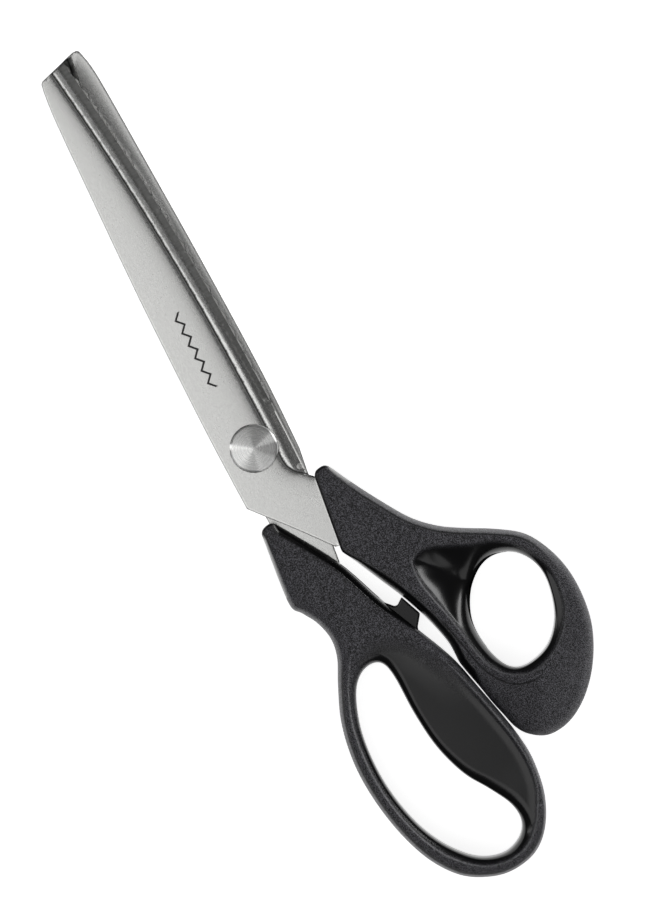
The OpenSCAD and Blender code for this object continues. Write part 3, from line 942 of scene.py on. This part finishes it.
def etched_zigzag(m, place):
    """A plain etched zigzag line along the front of the upper blade."""
    start, end, middle = 0.018, 0.039, 0.0018
    period, height, line = 0.0035, 0.0016, 0.00026
    xyz = m.add("ShaderNodeSeparateXYZ")
    m.link(place, xyz.inputs[0])
    x, y, z = xyz.outputs
    wave = m.math("PINGPONG", m.math("DIVIDE", m.math("SUBTRACT", x, start), period), 0.5)
    line_y = m.math("MULTIPLY_ADD", wave, 2 * height, middle - height / 2)
    away = m.math("ABSOLUTE", m.math("SUBTRACT", y, line_y))
    on_line = m.ramp(away, line, line * 1.6, 1, 0)
    from_middle = m.math("ABSOLUTE", m.math("SUBTRACT", x, (start + end) / 2))
    in_span = m.math("LESS_THAN", from_middle, (end - start) / 2)
    front = m.math("GREATER_THAN", z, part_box("upper_blade")[1].z - 0.0002)
    return m.math("MULTIPLY", m.math("MULTIPLY", on_line, in_span), front)


def turned_material():
    """Turned steel: fine rings about the pivot axis that fan the light out."""
    m = Nodes("turned_steel")
    place = m.place()
    xyz = m.add("ShaderNodeSeparateXYZ")
    m.link(place, xyz.inputs[0])
    x, y, _ = xyz.outputs
    radius = m.math("SQRT", m.math("ADD", m.math("MULTIPLY", x, x), m.math("MULTIPLY", y, y)))
    at = m.add("ShaderNodeCombineXYZ")
    m.link(radius, at.inputs[0])
    rings = m.noise(at.outputs[0], 0.00018, 2.0)
    tangent = m.add("ShaderNodeTangent", direction_type="RADIAL", axis="Z")
    m.set(
        Base_Color=m.mix(rings, (0.74, 0.74, 0.73), (0.88, 0.88, 0.87)), Metallic=1.0,
        Roughness=m.ramp(rings, 0.3, 0.7, 0.24, 0.32),
        Normal=m.bump(rings, 0.00001, 0.1),
    )
    m.shader.inputs["Anisotropic"].default_value = 1.0
    m.shader.inputs["Anisotropic Rotation"].default_value = 0.25
    m.link(tangent.outputs[0], m.shader.inputs["Tangent"])
    return m.material


def bronze_material():
    m = Nodes("bearing_bronze")
    place = m.place()
    mottle = m.noise(place, 0.001, 3.0)
    m.set(
        Base_Color=m.mix(mottle, (0.60, 0.44, 0.22), (0.74, 0.58, 0.34)), Metallic=1.0,
        Roughness=m.ramp(mottle, 0.3, 0.7, 0.28, 0.42),
        Normal=m.bump(mottle, 0.00001, 0.1),
    )
    return m.material


def assign(obj, material):
    obj.data.materials.clear()
    obj.data.materials.append(material)


# ---------------------------------------------------------------- pieces

def place(piece, material, body, node, slot):
    assign(piece, material)
    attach(piece, body)
    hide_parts(node)


def build_handles(plastic):
    thumb = Handle(
        THUMB_OUTLINE, THUMB_SIDE, THUMB_HOLE, THUMB_RIDGE, [THUMB_GROOVE],
        dip=(0.6, 3.4), dip_width=10.5, soft_ridge=None,
    )
    finger = Handle(
        FINGER_OUTLINE, FINGER_SIDE, FINGER_HOLE, FINGER_RIDGE, [],
        dip=(0.3, 0.6), dip_width=2.4, soft_ridge=(-84, -60),
    )
    place(handle_mesh("thumb_grip", thumb), plastic, "upper_half", "thumb_handle", "handle_plastic")
    place(handle_mesh("finger_grip", finger), plastic, "lower_half", "finger_handle", "handle_plastic")
    place(stop_mesh("finger_stop"), plastic, "lower_half", "finger_handle", "handle_plastic")


def build_blades():
    upper = Blade(
        UPPER_BACK, UPPER_TIP, UPPER_TANG, UPPER_EDGE_Y,
        heel_x=-12.1, side=1, seat_on_front=True, notch=(-9.2, -8.1),
    )
    lower = Blade(
        LOWER_BACK, LOWER_TIP, LOWER_TANG, LOWER_EDGE_Y,
        heel_x=-9.6, side=-1, seat_on_front=False, notch=None,
    )
    marked = steel_material("marked_steel", mark=True)
    plain = steel_material("ground_steel")
    place(blade_mesh("blade_with_mark", upper, False), marked, "upper_half", "upper_blade", "blade_steel")
    place(blade_mesh("blade_below", lower, True), plain, "lower_half", "lower_blade", "blade_steel")


def build_pivot():
    turned = turned_material()
    place(lathe_mesh("turned_screw", SCREW), turned, "lower_half", "pivot_screw", "turned_steel")
    for name in ("spring_washer", "lock_nut"):
        assign(NODES[name], turned)
    bronze = bronze_material()
    for name in ("head_washer", "thrust_washer"):
        assign(NODES[name], bronze)


# ---------------------------------------------------------------- studio

VIEW_MIDDLE = (-9.10 * MM, -16.72 * MM)
VIEW_HEIGHT = 226.2 * MM                 # what the frame's long side takes in
VIEW_TILT = math.radians(27.5)           # between the blades and the frame's long side
CAMERA_UP = 1.5


def add_camera():
    camera = bpy.data.cameras.new("camera")
    camera.sensor_width = 36
    camera.lens = 36 * CAMERA_UP / VIEW_HEIGHT
    camera.clip_end = 50
    obj = bpy.data.objects.new("camera", camera)
    obj.location = (*VIEW_MIDDLE, CAMERA_UP)
    obj.rotation_euler = (0, 0, -VIEW_TILT - math.pi / 2)
    bpy.context.scene.collection.objects.link(obj)
    bpy.context.scene.camera = obj


def add_floor():
    size, top = 12, -0.0002          # just under the part, so that the two faces don't meet
    corners = [(-size, -size, top), (size, -size, top), (size, size, top), (-size, size, top)]
    mesh = bpy.data.meshes.new("floor")
    mesh.from_pydata(corners, [], [(0, 1, 2, 3)])
    floor = bpy.data.objects.new("floor", mesh)
    bpy.context.scene.collection.objects.link(floor)
    m = Nodes("floor")
    m.set(Base_Color=(0.86, 0.86, 0.86), Roughness=0.8)
    m.shader.inputs["Emission Color"].default_value = (1, 1, 1, 1)
    m.shader.inputs["Emission Strength"].default_value = 0.86
    assign(floor, m.material)


def add_softbox(name, place, size, watts, target=(-0.01, -0.015, 0)):
    light = bpy.data.lights.new(name, "AREA")
    light.shape = "RECTANGLE"
    light.size, light.size_y = size
    light.energy = watts
    obj = bpy.data.objects.new(name, light)
    obj.location = place
    obj.rotation_euler = (Vector(target) - Vector(place)).to_track_quat("-Z", "Y").to_euler()
    obj.visible_camera = False
    bpy.context.scene.collection.objects.link(obj)


def view_way(right, up, height):
    """A place over the table, given along the picture's own sides."""
    c, s = math.cos(VIEW_TILT), math.sin(VIEW_TILT)
    return (-s * right + c * up, -c * right - s * up, height)


def add_lights():
    add_softbox("overhead", view_way(-0.67, -0.3, 2.1), (1.4, 1.6), 9.1)
    add_softbox("right", view_way(1.0, -1.2, 1.6), (1.6, 1.3), 6.0)
    add_softbox("right_strip", view_way(1.6, 1.0, 0.85), (0.9, 0.5), 10.0)
    add_softbox("left_strip", view_way(-1.6, 0.1, 0.8), (0.3, 1.1), 2.5)
    world = bpy.data.worlds.new("studio")
    bpy.context.scene.world = world
    world.use_nodes = True
    world.node_tree.nodes["Background"].inputs[0].default_value = (1, 1, 1, 1)
    world.node_tree.nodes["Background"].inputs[1].default_value = 0.05


def main():
    bpy.context.scene.view_settings.view_transform = "Standard"
    add_camera()
    add_floor()
    add_lights()
    build_pivot()
    build_handles(plastic_material())
    build_blades()


main()
